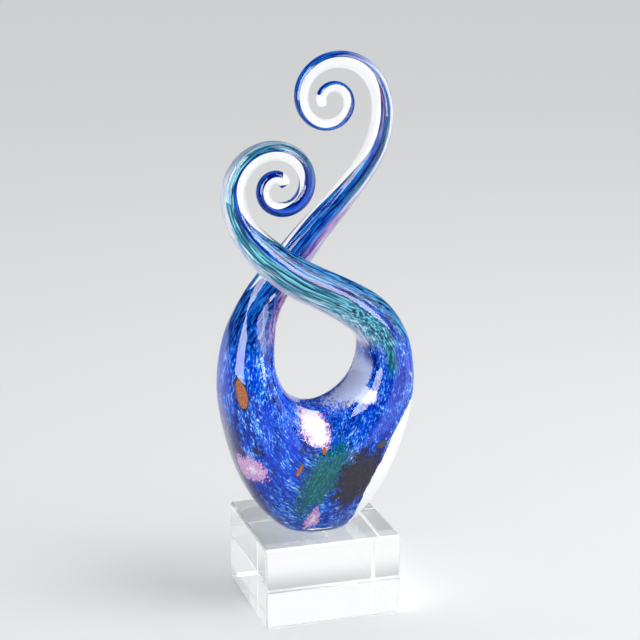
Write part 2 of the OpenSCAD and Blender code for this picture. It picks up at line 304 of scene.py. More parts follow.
# %% Measure along the bar
def flow_of(sections, distance, across, out):
    """Place in the glass: distance along the bar, across its section, and out to the front."""
    half_span = np.linalg.norm(sections[:, SECOND] - sections[:, FIRST], axis=1)[:, None] / 2
    along = np.broadcast_to(distance[:, None], across.shape)
    return np.stack([along, across * half_span, out * sections[:, HALF_DEPTH, None]], axis=-1)


# Short steps along the middle line add up to its length
dense_places = np.linspace(front_tip, rear_tip, 4001)
dense = sections_at(dense_places)
dense_line = (dense[:, FIRST] + dense[:, SECOND]) / 2
steps = np.linalg.norm(np.diff(dense_line, axis=0), axis=1)
dense_distance = np.concatenate([[0], np.cumsum(steps)])
dense_distance -= np.interp(fold_place, dense_places, dense_distance)


def distance_at(places):
    """Length of the bar's middle line from the bottom of the fold, negative in the front arm."""
    return np.interp(places, dense_places, dense_distance)


front_cut_distance, rear_cut_distance = distance_at(np.array([front_cut, rear_cut]))
print(f"the bar is {(dense_distance[-1] - dense_distance[0]) / MM:.0f} mm long")

# %% [markdown]
# ## Turning rings into a closed piece
#
# Every layer of the bar is the same kind of surface: rings of points, one behind the other. It
# could be a curve object with a bevel, but a bevel can't change its proportions along the way.
# One function joins any rings into a mesh. It closes both ends, either flat, where a piece meets
# the next one, or with a dome, where the glass ends. The place in the glass goes along as a
# point attribute named flow, which the streaks of the colour will follow.

# %% Join rings into a closed surface
def ring_faces(count, around):
    """Four-sided faces between neighbouring rings, with their normals outwards."""
    j, k = np.meshgrid(np.arange(count - 1), np.arange(around), indexing="ij")
    a, b = j * around + k, j * around + (k + 1) % around
    return np.stack([a, b, b + around, a + around], axis=-1).reshape(-1, 4)


def fan_faces(ring_start, around, tip, turned):
    """Triangles from one ring to the point that closes it."""
    k = np.arange(around)
    a, b = ring_start + k, ring_start + (k + 1) % around
    c = np.full(around, tip)
    return np.stack([a, b, c] if turned else [b, a, c], axis=-1)


def closed(rows, tips):
    """Rings of points and a point beyond each end, as one closed surface: points and faces."""
    count, around = rows.shape[:2]
    points = np.concatenate([rows.reshape(-1, 3), tips])
    faces = ring_faces(count, around).tolist()
    faces += fan_faces(0, around, count * around, False).tolist()
    faces += fan_faces((count - 1) * around, around, count * around + 1, True).tolist()
    return points, faces


print("three rings of four points take", len(closed(np.zeros((3, 4, 3)), np.zeros((2, 3)))[1]),
      "faces")


# %% Make a piece
def make_piece(name, points, faces, marks=None, materials=(), rims=(), slots=None):
    """A smooth mesh at the origin. An edge between two points of the rims is a sharp one."""
    mesh = bpy.data.meshes.new(name)
    mesh.from_pydata(points.tolist(), [], faces)
    mesh.polygons.foreach_set("use_smooth", np.ones(len(faces), bool))
    if slots is not None:
        mesh.polygons.foreach_set("material_index", slots.astype(np.int32))
    if len(rims):
        ends = np.zeros(len(mesh.edges) * 2, np.int32)
        mesh.edges.foreach_get("vertices", ends)
        hard = np.isin(ends.reshape(-1, 2), rims).all(axis=1)
        mesh.attributes.new("sharp_edge", "BOOLEAN", "EDGE").data.foreach_set("value", hard)
    for mark, values in (marks or {}).items():
        held = mesh.attributes.new(mark, "FLOAT_VECTOR", "POINT")
        held.data.foreach_set("vector", values.astype(np.float32).ravel())
    piece = bpy.data.objects.new(name, mesh)
    bpy.context.scene.collection.objects.link(piece)
    for material in materials:
        mesh.materials.append(material)
    mesh.validate()
    return piece


# %% Close the ends
def end_cap(end, before, rise, rounds=7):
    """Rings past an end, each the end ring times cos(a), moved on by rise sin(a), and the tip."""
    centre = end.mean(axis=0)
    ahead = centre - before.mean(axis=0)
    ahead /= np.linalg.norm(ahead)
    turn = np.linspace(0, math.pi / 2, rounds + 1)[1:-1] if rise else np.zeros(0)
    caps = (centre + (end - centre) * np.cos(turn)[:, None, None]
            + ahead * rise * np.sin(turn)[:, None, None])
    return caps, centre + ahead * rise


def spread_over(mark, before, after):
    """The values of the end rings go on over the caps and to the tips."""
    held = np.concatenate([np.repeat(mark[:1], before, axis=0), mark,
                           np.repeat(mark[-1:], after, axis=0)]).reshape(-1, 3)
    return np.concatenate([held, [mark[0].mean(axis=0), mark[-1].mean(axis=0)]])


# %% Build a stretch of the bar
def bar_piece(name, places, angles, section_of, materials, lowest=0.0, domes=(0, 0)):
    """A closed stretch of the bar. A dome of no rise is a flat end, in the second material."""
    sections = section_of(places)
    across, out = outline(angles[None, :], sections[:, POWER, None])
    rings = section_points(sections, across, out)
    rings[..., 2] = np.maximum(rings[..., 2], lowest)
    start_caps, start_tip = end_cap(rings[0], rings[1], domes[0])
    last_caps, last_tip = end_cap(rings[-1], rings[-2], domes[1])
    rows = np.concatenate([start_caps[::-1], rings, last_caps])
    points, faces = closed(rows, [start_tip, last_tip])

    # closed() puts the fan of the start before that of the other end, and both come last
    count, around = rows.shape[:2]
    slots, rims = np.zeros(len(faces)), []
    if not domes[0]:
        slots[-2 * around:-around] = 1
        rims += range(around)
    if not domes[1]:
        slots[-around:] = 1
        rims += range((count - 1) * around, count * around)

    flow = flow_of(sections, distance_at(places), across, out)
    share = np.stack([np.broadcast_to(places[:, None], across.shape), across, out], axis=-1)
    marks = {"flow": spread_over(flow, len(start_caps), len(last_caps)),
             "share": spread_over(share, len(start_caps), len(last_caps))}
    piece = make_piece(name, points, faces, marks, materials, rims,
                       slots if len(materials) > 1 else None)
    print(f"{name}: {count} rings of {around} points")
    return piece


# %% [markdown]
# ## A small language for materials
#
# The finish of each glass is a network of nodes. Written out node by node it would hide the
# idea, so one small class stands for a socket: an ordinary Python sum or product of two sockets
# adds the Math node that works it out. Every other kind of node comes from one method, add,
# which takes the node's type, its settings and its sockets.

# %% Wrap a socket
class Socket:
    """An output of a node on which Python's operators add Math nodes."""

    def __init__(self, finish, output):
        self.finish, self.output = finish, output

    def maths(self, operation, *values):
        """The Math node of this operation on these values."""
        return self.finish.add("ShaderNodeMath", {"operation": operation},
                               dict(enumerate(values)))

    def __add__(self, other): return self.maths("ADD", self, other)
    def __radd__(self, other): return self.maths("ADD", other, self)
    def __sub__(self, other): return self.maths("SUBTRACT", self, other)
    def __rsub__(self, other): return self.maths("SUBTRACT", other, self)
    def __mul__(self, other): return self.maths("MULTIPLY", self, other)
    def __rmul__(self, other): return self.maths("MULTIPLY", other, self)
    def __truediv__(self, other): return self.maths("DIVIDE", self, other)
    def __rtruediv__(self, other): return self.maths("DIVIDE", other, self)
    def __pow__(self, other): return self.maths("POWER", self, other)
    def __rpow__(self, other): return self.maths("POWER", other, self)
    def __abs__(self): return self.maths("ABSOLUTE", self)

    def larger(self, other): return self.maths("MAXIMUM", self, other)
    def smaller(self, other): return self.maths("MINIMUM", self, other)

    def step(self, low, high):
        """0 below low, 1 above high, and a smooth rise between them."""
        return self.finish.add(
            "ShaderNodeMapRange", {"interpolation_type": "SMOOTHSTEP"},
            {"Value": self, "From Min": low, "From Max": high})

    def within(self, low, high, soft):
        """1 between low and high, with smooth edges as wide as soft, and 0 elsewhere."""
        return (self.step(low - soft / 2, low + soft / 2)
                * (1 - self.step(high - soft / 2, high + soft / 2)))


# %% Wrap the nodes of a finish
# A Mix node has sockets for every kind of value, and these are the ones for colours
MIX_FACTOR, MIX_A, MIX_B, MIX_RESULT = 0, 6, 7, 2


class Finish:
    """The nodes that make up the look of a material, or of the world."""

    def __init__(self, owner):
        owner.use_nodes = True
        self.owner, self.tree = owner, owner.node_tree
        self.tree.nodes.clear()

    def add(self, kind, settings=None, sockets=None, output=0):
        """Adds a node, sets it up, fills or links its sockets, and returns one of its outputs."""
        node = self.tree.nodes.new(kind)
        for name, value in (settings or {}).items():
            setattr(node, name, value)
        for name, value in (sockets or {}).items():
            if isinstance(value, Socket):
                self.tree.links.new(value.output, node.inputs[name])
            else:
                node.inputs[name].default_value = value
        return Socket(self, node.outputs[output]) if node.outputs else None

    def mix(self, factor, a, b):
        """Colour a where the factor is 0 and b where it is 1."""
        a, b = [(*tone, 1) if isinstance(tone, tuple) else tone for tone in (a, b)]
        return self.add("ShaderNodeMix", {"data_type": "RGBA"},
                        {MIX_FACTOR: factor, MIX_A: a, MIX_B: b}, MIX_RESULT)

    def stretched(self, vector, rates, shift=(0, 0, 0)):
        """A vector times a rate for each axis, plus a shift."""
        return self.add("ShaderNodeVectorMath", {"operation": "MULTIPLY_ADD"},
                        {0: vector, 1: rates, 2: shift})

    def noise(self, vector, detail, roughness, distortion=0.0):
        """Soft random values round 0.5, one bump for each unit of the vector."""
        return self.add("ShaderNodeTexNoise", {}, {
            "Vector": vector, "Scale": 1.0, "Detail": detail, "Roughness": roughness,
            "Distortion": distortion})

    def attribute(self, name):
        """A point attribute of the mesh, as a vector."""
        return self.add("ShaderNodeAttribute", {"attribute_name": name}, output="Vector")

    def place(self):
        """The place on the object, in metres."""
        return self.add("ShaderNodeTexCoord", output="Object")

    def ray(self, question):
        """What Light Path says of the ray that looks here, such as Is Camera Ray."""
        return self.add("ShaderNodeLightPath", output=question)

    def parts(self, vector):
        """The three numbers of a vector."""
        split = self.add("ShaderNodeSeparateXYZ", {}, {0: vector})
        return [Socket(self, part) for part in split.output.node.outputs]

    def vector(self, *values):
        """A vector from three numbers."""
        return self.add("ShaderNodeCombineXYZ", {}, dict(enumerate(values)))

    def principled(self, **sockets):
        """The Principled shader, with the spaces in its sockets' names written as underscores."""
        return self.add("ShaderNodeBsdfPrincipled", {}, {
            name.replace("_", " "): value for name, value in sockets.items()})

    def blend(self, factor, a, b):
        """Shader a where the factor is 0 and b where it is 1."""
        return self.add("ShaderNodeMixShader", {}, {0: factor, 1: a, 2: b})

    def surface(self, shader, kind="ShaderNodeOutputMaterial"):
        """Makes a shader the surface, and returns the finished material or world."""
        self.add(kind, {}, {"Surface": shader})
        return self.owner


def new_finish(name):
    """The nodes of a new material."""
    return Finish(bpy.data.materials.new(name))


# %% [markdown]
# ## Clear glass
#
# The outer glass is fire-polished and a few millimetres thick over the colour. A real caster of
# light is slow to render, so lamps pass straight through it: a Mix Shader puts a Transparent
# shader in for shadow rays, and the glass itself is seen by all other rays. The flat faces where
# the three clear pieces are fused can't be seen on the real award, so they get a see-through
# finish of their own.

# %% Mix the clear glass
def with_open_shadows(finish, glass, shade):
    """The glass for every ray but those on their way to a lamp, which only take on a tint."""
    open_air = finish.add("ShaderNodeBsdfTransparent", {}, {"Color": (*shade, 1)})
    return finish.surface(finish.blend(finish.ray("Is Shadow Ray"), glass, open_air))


def clear_glass(name, tint, ior, shade, gloss):
    """Smooth glass of one tint, with a gloss of 0.5 for the full mirror of its index."""
    finish = new_finish(name)
    glass = finish.principled(Base_Color=(*tint, 1), Roughness=0.0, IOR=ior,
                              Transmission_Weight=1.0, Specular_IOR_Level=gloss)
    return with_open_shadows(finish, glass, shade)


casing_glass = clear_glass("clear_glass", (0.985, 0.992, 1.0), 1.45, (0.98, 0.99, 1.0), 0.25)
joint = new_finish("fused_joint")
joint_face = joint.surface(joint.principled(Base_Color=(1, 1, 1, 1), Alpha=0.0))
print("clear finishes:", casing_glass.name, joint_face.name)

# %% [markdown]
# ## The block's crystal
#
# The block is cut and polished optical glass, and what gives it away are its bright edges: two
# bevels meet there, and each sends the light somewhere else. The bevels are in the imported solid,
# but they are too narrow for their play of light to show in a picture. So the finish turns
# nearly white where the margins of two faces meet, and stays clear glass elsewhere.

# %% Mix the block's crystal
def bevel_margin(across, half_size):
    """1 on the bevelled margin of a face that lies half a size from the middle."""
    start = half_size - block_bevel + 0.1 * MM
    return abs(across).step(start, start + 0.02 * MM)


crystal = new_finish("crystal_block")
x, y, z = crystal.parts(crystal.place())
margins = (bevel_margin(x, block_width / 2) + bevel_margin(y, block_width / 2)
           + bevel_margin(z - block_height / 2, block_height / 2))
polished_glass = crystal.principled(Base_Color=(0.985, 0.993, 0.995, 1), Roughness=0.0, IOR=1.5,
                                    Transmission_Weight=1.0)
bright_edge = crystal.principled(Base_Color=(0.93, 0.95, 0.96, 1), Roughness=0.2)
edged_glass = crystal.blend(margins.step(1.4, 1.6) * 0.8, polished_glass, bright_edge)
block_glass = with_open_shadows(crystal, edged_glass, (0.88, 0.9, 0.92))
print("block finish:", block_glass.name)

# %% [markdown]
# ## Streaked colour
#
# Crushed colour was rolled over the hot bar and drawn out with it, so its grains became streaks
# that follow the bar. Noise in the flow coordinates does the same when it is stretched a few
# times along the bar. Under the fold the glass was twisted, and the streaks lean to the right:
# there a second set of coordinates, turned in the plane of the award, takes over.

# %% Draw streaks
def streaks(finish, along, length, width, shift, detail=3.0, roughness=0.6):
    """Noise with bumps of a given length along the bar and a given width across it."""
    vector = finish.stretched(along, (1 / length, 1 / width, 1 / width), (shift, shift, shift))
    return finish.noise(vector, detail, roughness, 0.3)


def leaning_place(finish, lean=math.radians(62)):
    """Object coordinates turned in the plane of the award, so that x runs up to the right."""
    x, y, z = finish.parts(finish.place())
    return finish.vector(x * math.cos(lean) + z * math.sin(lean),
                         x * -math.sin(lean) + z * math.cos(lean), y)


def grained(finish, along, ground, shift):
    """Light blue grains over a ground colour, and fewer and finer ones that are nearly white."""
    clouds = streaks(finish, along, 14 * MM, 7 * MM, shift + 3.1, 2.0)
    fine = streaks(finish, along, 2.6 * MM, 0.8 * MM, shift + 7.7, 3.0, 0.65)
    medium = streaks(finish, along, 6 * MM, 1.8 * MM, shift + 1.9, 2.0)
    spread = fine * 0.55 + medium * 0.2 + clouds * 0.25
    bright_blue, sky_blue, near_white = (0.002, 0.13, 0.85), (0.07, 0.42, 1.0), (0.62, 0.9, 1.0)
    colour = finish.mix(spread.step(0.465, 0.535), ground, bright_blue)
    colour = finish.mix(spread.step(0.53, 0.59), colour, sky_blue)
    return finish.mix((fine * 0.7 + clouds * 0.3).step(0.58, 0.64), colour, near_white)


# %% Name the tones of the drawn colours
# A dark, a middle and a light tone, and the shift that keeps one colour's noise off another's
drawn_tones = {
    "green_trail": ((0.001, 0.05, 0.07), (0.002, 0.13, 0.13), (0.04, 0.45, 0.5), 3.0),
    "light_teal": ((0.002, 0.16, 0.30), (0.05, 0.50, 0.66), (0.80, 0.97, 1.0), 2.0),
    "deep_teal": ((0.0005, 0.035, 0.11), (0.001, 0.17, 0.30), (0.25, 0.82, 0.92), 3.0),
    "front_painted_clear_edge": ((0.42, 0.52, 0.70), (0.74, 0.74, 0.88), (0.95, 0.93, 0.98), 9.0),
    "front_cobalt": ((0.0005, 0.008, 0.18), (0.001, 0.03, 0.5), (0.02, 0.2, 0.75), 4.0),
    "front_edge": ((0.0003, 0.008, 0.08), (0.001, 0.06, 0.32), (0.10, 0.48, 0.78), 5.5),
    "rear_cobalt": ((0.0004, 0.010, 0.15), (0.001, 0.045, 0.47), (0.02, 0.28, 0.78), 6.0),
    "rear_teal": ((0.0005, 0.02, 0.09), (0.001, 0.07, 0.22), (0.05, 0.4, 0.55), 3.5),
    "rear_pink": ((0.10, 0.04, 0.36), (0.56, 0.30, 0.66), (0.97, 0.66, 0.86), 7.0),
    "rear_painted_pale_edge": ((0.42, 0.46, 0.72), (0.66, 0.68, 0.88), (0.95, 0.94, 0.99), 9.0),
    "magenta_line": ((0.03, 0.006, 0.12), (0.26, 0.03, 0.2), (0.75, 0.4, 0.72), 8.0),
}


def drawn_colour(finish, name):
    """Long streaks of a dark, a middle and a light tone of one colour."""
    dark, body, light, shift = drawn_tones[name]
    flow = finish.attribute("flow")
    broad = streaks(finish, flow, 50 * MM, 2.0 * MM, shift)
    fine = streaks(finish, flow, 20 * MM, 0.7 * MM, shift + 5, 2.0)
    colour = finish.mix((broad * 0.7 + fine * 0.3).step(0.43, 0.55), dark, body)
    return finish.mix((fine * 0.75 + broad * 0.25).step(0.51, 0.57), colour, light)


print(len(drawn_tones), "drawn colours")

# %% [markdown]
# ## The core's cobalt
#
# The core is the showpiece of the award: clouded blue, lighter grains, a green trail that runs on
# from the front arm, a white spot, frost inside the fold, and a low right side where the colour
# stops and clear glass begins. Light is painted on it as well: painted shade low down and along the
# low left edge, a painted violet reflection on the right, and on the clear side painted white with
# a painted glow. A painted picture could be wrapped round it, but it would be soft from close by.
# Each feature is therefore a mask in the piece's own coordinates: turned counts controls from the
# front cut, share runs from -1 at the inner edge to 1 at the outer one, and out is 1 on the front.
# Noise makes every edge uneven.

# %% Draw the blue and its grains
def blue_ground_and_painted_light(finish, flow, wander):
    """Dark and bright clouds, a violet painted reflection at right, painted shade above the foot.
    """
    x, _, z = finish.parts(finish.place())
    clouds = streaks(finish, flow, 26 * MM, 12 * MM, 3.1, 2.0)
    ground = finish.mix(clouds.step(0.38, 0.62), (0.0002, 0.009, 0.20), (0.0003, 0.04, 0.64))
    # Painted reflection: a violet veil over the right side.
    violet = (x + wander * (30 * MM)).step(28 * MM, 42 * MM)
    ground = finish.mix(violet * 0.7, ground, (0.014, 0.03, 0.48))
    # Painted shade: darker low down, above the foot.
    low = 1 - (z + x * 0.4 + wander * (30 * MM)).step(62 * MM, 86 * MM)
    return finish.mix(low * 0.75, ground, (0.004, 0.018, 0.24))


def blue_grains(finish, flow, wander, ground):
    """Grains that follow the bar, but lean to the right where the low right side was twisted."""
    x, _, z = finish.parts(finish.place())
    right = (x + wander * (40 * MM)).step(0, 16 * MM)
    low = 1 - (z + wander * (30 * MM)).step(108 * MM, 122 * MM)
    return finish.mix(right * low, grained(finish, flow, ground, 0.0),
                      grained(finish, leaning_place(finish), ground, 5.0))


# %% Draw the trail, the spot, the frost and the dark rind
def with_trail(finish, colour, share, turned, ragged):
    """Green that runs on from the front arm and ends soon after the shoulder."""
    across = (share + ragged * 0.3).within(-0.42, 0.08, 0.1)
    along = 1 - (turned + ragged * 0.8).step(0.3, 0.95)
    return finish.mix(across * along * 0.9, colour, drawn_colour(finish, "green_trail"))


def with_spot(finish, colour, ragged):
    """White where (x / 10.5 mm)^2 + (z / 5.2 mm)^2, from the spot's middle, is under about 1."""
    x, y, z = finish.parts(finish.place())
    spot = ((x - 22 * MM) / (10.5 * MM)) ** 2 + ((z - 126 * MM) / (5.2 * MM)) ** 2
    cover = (1 - (spot + ragged * 2.0).step(0.6, 1.1)) * (1 - y.step(-14 * MM, -8 * MM))
    return finish.mix(cover, colour, (0.86, 0.9, 1.0))


def with_frost(finish, colour, flow, share, turned):
    """Pale frost on the inside of the fold, with a whiter torn edge on the front."""
    _, y, _ = finish.parts(finish.place())
    torn = streaks(finish, flow, 3 * MM, 3 * MM, 27.0, 4.0, 0.7) - 0.5
    inner = share + torn * 0.2 + turned * 0.045
    frost = (1 - inner.step(-0.87, -0.83)) * turned.within(0.5, 5.0, 0.8)
    colour = finish.mix(frost * 0.85, colour, (0.72, 0.78, 0.93))
    edge = inner.within(-0.87, -0.82, 0.03) * turned.within(2.2, 4.2, 0.8)
    return finish.mix(edge * (1 - y.step(-16 * MM, -8 * MM)) * 0.8, colour, (0.93, 0.95, 1.0))


def with_painted_edge_shade(finish, colour, share, turned, wander):
    """Painted shade: dark violet along the outer edge of the left side, up to the shoulder."""
    _, _, z = finish.parts(finish.place())
    outer = (share + wander * 0.2).step(0.8, 0.95)
    # Painted shade on the low outer edge of the left side.
    painted_edge_shade = outer * turned.step(4.4, 5.0) * (1 - z.step(105 * MM, 125 * MM))
    return finish.mix(painted_edge_shade * 0.8, colour, (0.035, 0.025, 0.13))


# %% Draw the clear side
def clear_side(finish, turned, share):
    """1 on the low right side, where the colour stops at a ragged edge and painted white shows
    instead.
    """
    uneven = streaks(finish, leaning_place(finish), 5 * MM, 4 * MM, 21.0, 3.0) - 0.5
    width = turned.step(0.5, 2.5) * (1 - turned.step(2.9, 3.9)) * 0.56
    return (share - 1.08 + width + uneven * 0.16).step(0.0, 0.015)


def painted_view_through_glass(finish, flow, share, out):
    """Painted view through clear glass: white to the front, long blue streaks towards the side."""
    _, y, _ = finish.parts(finish.place())
    depth = streaks(finish, flow, 160 * MM, 7 * MM, 33.0, 1.0) * 0.9 + 0.05
    facing = out.step(-0.1, 0.55) * (1 - y.step(-4 * MM, 16 * MM) * 0.55)
    depth = depth * (1 - facing) * (1 - (share - 0.15).step(0.2, 0.8) * 0.5)
    return finish.mix(depth, (0.97, 0.975, 0.98), (0.34, 0.50, 0.88))


# %% Lay the cobalt together
def cobalt_pattern(finish):
    """The core's colour with painted light, and 1 on the front of the clear side, for a painted
    glow.
    """
    flow = finish.attribute("flow")
    place, share, out = finish.parts(finish.attribute("share"))
    turned = place - front_cut
    wander = streaks(finish, flow, 30 * MM, 14 * MM, 11.3, 2.0) - 0.5
    ragged = streaks(finish, flow, 5 * MM, 1.6 * MM, 15.0, 3.0) - 0.5
    colour = blue_grains(finish, flow, wander, blue_ground_and_painted_light(finish, flow, wander))
    colour = with_trail(finish, colour, share, turned, ragged)
    colour = with_spot(finish, colour, ragged)
    colour = with_frost(finish, colour, flow, share, turned)
    colour = with_painted_edge_shade(finish, colour, share, turned, wander)
    clear = clear_side(finish, turned, share)
    colour = finish.mix(clear, colour, painted_view_through_glass(finish, flow, share, out))
    return colour, clear * out.step(0.05, 0.3)


def coloured_glass(finish, colour, rough=0.6, **glow):
    """An opaque layer under clear glass: it has no surface of its own, and so no shine."""
    return finish.surface(finish.principled(
        Base_Color=colour, Roughness=rough, Specular_IOR_Level=0.0, **glow))


core_finish = new_finish("cobalt_core")
core_colour, painted_glow_mask = cobalt_pattern(core_finish)
# Emission: a painted glow on the front of the clear side, which brightens its painted white.
core_glass = coloured_glass(
    core_finish, core_colour, Emission_Strength=0.18,
    Emission_Color=core_finish.mix(painted_glow_mask, (0, 0, 0), (1, 1, 1)))
print("core finish:", core_glass.name, "with", len(core_finish.tree.nodes), "nodes")

# %% [markdown]
# ## The canes' colours
#
# The canes were drawn out much further than the core, so their streaks are long and fine. Across
# each arm the colour changes from one edge to the other: share is -1 at the edge that started
# inside the loop and 1 at the other. Near the loop every cane takes on the core's own pattern,
# since the real colours run into each other there without a line.

# %% Mix the front arm's tones
def front_cobalt_tones(finish, past_cut, share):
    """Teal runs over into cobalt, and light streaks lie in dark blue beyond it."""
    straight = 1 - past_cut.step(100 * MM, 130 * MM)
    teal = (1 - share.step(0.15, 0.4)) * (1 - past_cut.step(185 * MM, 210 * MM))
    colour = finish.mix(teal, drawn_colour(finish, "front_cobalt"),
                        drawn_colour(finish, "deep_teal"))
    return finish.mix(share.step(0.5, 0.7) * straight, colour,
                      drawn_colour(finish, "front_edge"))


def teal_tones(finish, past_cut, share):
    """A painted pale outer edge for clear glass, then light teal, dark green teal, and cobalt at
    the curl's end.
    """
    colour = finish.mix(share.step(-0.6, -0.3), drawn_colour(finish, "light_teal"),
                        drawn_colour(finish, "deep_teal"))
    curl = past_cut.step(135 * MM, 165 * MM)
    colour = finish.mix(curl * 0.65, colour, (0.001, 0.05, 0.13))
    # Painted light: the pale rim stands in for a clear edge that shows the bright ground.
    rim = (1 - share.step(-0.9, -0.72)) * (1 - past_cut.step(135 * MM, 160 * MM) * 0.75)
    colour = finish.mix(rim, colour, drawn_colour(finish, "front_painted_clear_edge"))
    return finish.mix(past_cut.step(190 * MM, 215 * MM), colour,
                      front_cobalt_tones(finish, past_cut, share))


# %% Mix the rear arm's tones
def rear_cobalt_tones(finish, past_cut, share):
    """Cobalt, with pink and a painted pale edge on the side that started inside the loop."""
    dark_zone = past_cut.within(105 * MM, 165 * MM, 25 * MM) * share.within(0.2, 0.85, 0.3)
    colour = finish.mix(dark_zone, drawn_colour(finish, "rear_cobalt"),
                        drawn_colour(finish, "rear_teal"))
    reach = share + 0.55 - past_cut.step(20 * MM, 60 * MM) * 0.6
    side = (1 - reach.step(-0.3, 0.3)) * past_cut.within(12 * MM, 112 * MM, 20 * MM)
    colour = finish.mix(side, colour, drawn_colour(finish, "rear_pink"))
    # Painted light: a pale lavender edge, and further on a wide pale band.
    rim = (1 - (share + 0.5).step(-0.15, 0.15)) * past_cut.step(35 * MM, 70 * MM)
    wide = (1 - (share - 0.15).step(-0.15, 0.15)) * past_cut.step(85 * MM, 120 * MM)
    cover = (rim + wide - rim * wide) * (1 - past_cut.step(175 * MM, 205 * MM))
    return finish.mix(cover, colour, drawn_colour(finish, "rear_painted_pale_edge"))


def pink_tones(finish, past_cut, share):
    """Cobalt on the straight arm, and a thin magenta line in the curl."""
    _, _, out = finish.parts(finish.attribute("share"))
    line = past_cut.step(120 * MM, 160 * MM) * out.within(-0.25, 0.1, 0.12)
    return finish.mix(line, drawn_colour(finish, "rear_cobalt"),
                      drawn_colour(finish, "magenta_line"))


# %% Mix the canes
def drawn_cane(name, cut, tones):
    """A cane whose colour runs over into the core's pattern on the last stretch to the cut."""
    finish = new_finish(name)
    along, _, _ = finish.parts(finish.attribute("flow"))
    _, share, _ = finish.parts(finish.attribute("share"))
    uneven = streaks(finish, finish.attribute("flow"), 9 * MM, 1.5 * MM, 17.0, 3.0) - 0.5
    past_cut = along - cut if cut > 0 else cut - along
    merged = 1 - (past_cut + uneven * (26 * MM)).step(3 * MM, 12 * MM)
    core_side, _ = cobalt_pattern(finish)
    return coloured_glass(finish, finish.mix(merged, tones(finish, past_cut, share), core_side))


teal_glass = drawn_cane("teal_cane", front_cut_distance, teal_tones)
front_cobalt_glass = drawn_cane("front_cobalt_cane", front_cut_distance, front_cobalt_tones)
rear_cobalt_glass = drawn_cane("rear_cobalt_cane", rear_cut_distance, rear_cobalt_tones)
pink_glass = drawn_cane("pink_cane", rear_cut_distance, pink_tones)
print("cane finishes:", teal_glass.name, front_cobalt_glass.name, rear_cobalt_glass.name,
      pink_glass.name)

# %% [markdown]
# ## Chips of other glass
#
# Copper chips stay whole and sharp, because their glass is stiffer. The white, green and dark
# patches were crushed glass, which broke up at its edges. Each chip is a thin shell on the core
# with coordinates of its own, u and v from -1 to 1. The soft patches fade out by an uneven
# threshold on the distance from their middle.

# %% Mix the crushed patches
def from_middle(u, v):
    """Distance from a chip's middle, as a share of its reach: the root of u^2 + v^2."""
    return (u * u + v * v) ** 0.5


def patch_glass(name, rim, body, bright, shift, torn=1.3):
    """Grains of three tones whose cover stops where distance plus noise passes a threshold."""
    finish = new_finish(name)
    u, v, tone = finish.parts(finish.attribute("chip"))
    leaning = leaning_place(finish)
    grain_length, grain_width = 2.08 * MM, 0.8 * MM
    ragged = streaks(finish, leaning, grain_length, grain_width, shift, 3.0, 0.65)
    broad = streaks(finish, leaning, 6 * MM, 3 * MM, shift + 3, 2.0)
    fine = streaks(finish, leaning, grain_length, grain_width * 0.9, shift + 9, 3.0, 0.65)
    inside = 1 - from_middle(u, v) + (ragged - 0.5) * torn + (broad - 0.5) * 0.9
    place, share, _ = finish.parts(finish.attribute("share"))
    cover = inside.step(0.24, 0.28) * (1 - clear_side(finish, place - front_cut, share))
    colour = finish.mix((inside - tone * 0.6).step(0.28, 0.55), rim, body)
    colour = finish.mix(fine.step(0.53, 0.62), colour, bright)
    return finish.surface(finish.principled(
        Base_Color=colour, Alpha=cover, Roughness=0.6, Specular_IOR_Level=0.0))


white_glass = patch_glass("white_patch", (0.66, 0.34, 0.70), (0.96, 0.92, 0.98),
                          (0.98, 0.80, 0.93), 1.0)
green_glass = patch_glass("green_patch", (0.002, 0.10, 0.17), (0.002, 0.13, 0.14),
                          (0.03, 0.34, 0.44), 2.0, 2.4)
dark_glass = patch_glass("dark_patch", (0.015, 0.015, 0.06), (0.03, 0.028, 0.045),
                         (0.07, 0.065, 0.11), 3.0, 1.5)
print("patch finishes:", white_glass.name, green_glass.name, dark_glass.name)

# %% Mix the copper
copper = new_finish("copper_chip")
u, v, tone = copper.parts(copper.attribute("chip"))
grains_per_metre = 1400
grain = copper.noise(copper.stretched(copper.place(), (grains_per_metre,) * 3), 3.0, 0.7)
metal = copper.mix(grain.step(0.4, 0.65), (0.36, 0.10, 0.03), (0.72, 0.29, 0.12))
metal = copper.mix(tone, metal, (0.12, 0.085, 0.05))
burnt_rim = (from_middle(u, v) + (grain - 0.5) * 0.3).step(0.84, 0.92)
copper_glass = coloured_glass(copper, copper.mix(burnt_rim, metal, (0.03, 0.015, 0.03)), 0.4)
print("chip finish:", copper_glass.name)

# %% [markdown]
# ## The clear casing
#
# The casing is the skin that gives the award its shape. It is made in three pieces, as the solids
# are: the loop and the two arms, which meet in flat fused faces at the shoulders.

# %% Set out the rings
# Points round each ring, and rings from one control to the next
AROUND = 96
ARM_RINGS, LOOP_RINGS = 14, 32
full_turn = np.arange(AROUND) / AROUND * 2 * math.pi


def places_between(start, end, per_control):
    """Evenly spaced places along the bar, with both ends."""
    return np.linspace(start, end, round((end - start) * per_control) + 1)


loop_places = places_between(front_cut, rear_cut, LOOP_RINGS)
print(len(loop_places), "rings in the loop")

# %% Draw the clear casing
front_dome, rear_dome = 1.6 * MM, 1.3 * MM
clear = (casing_glass, joint_face)
loop_casing = bar_piece("clear_loop", loop_places, full_turn, sections_at, clear, foot_level)
front_casing = bar_piece("clear_front_arm", places_between(front_tip, front_cut, ARM_RINGS),
                         full_turn, sections_at, clear, domes=(front_dome, 0))
rear_casing = bar_piece("clear_rear_arm", places_between(rear_cut, rear_tip, ARM_RINGS),
                        full_turn, sections_at, clear, domes=(0, rear_dome))

# %% [markdown]
# ## The colour inside
#
# The colour fills the casing but for a clear wall, and for the wide clear bands on the inside of
# the curls. Each cane is part of the round, from one angle of the section to another.

# %% Draw the colour core and the canes
def arc(start, end, count=48):
    """Angles in radians from one edge of a cane to its other edge."""
    return np.radians(np.linspace(start, end, count))


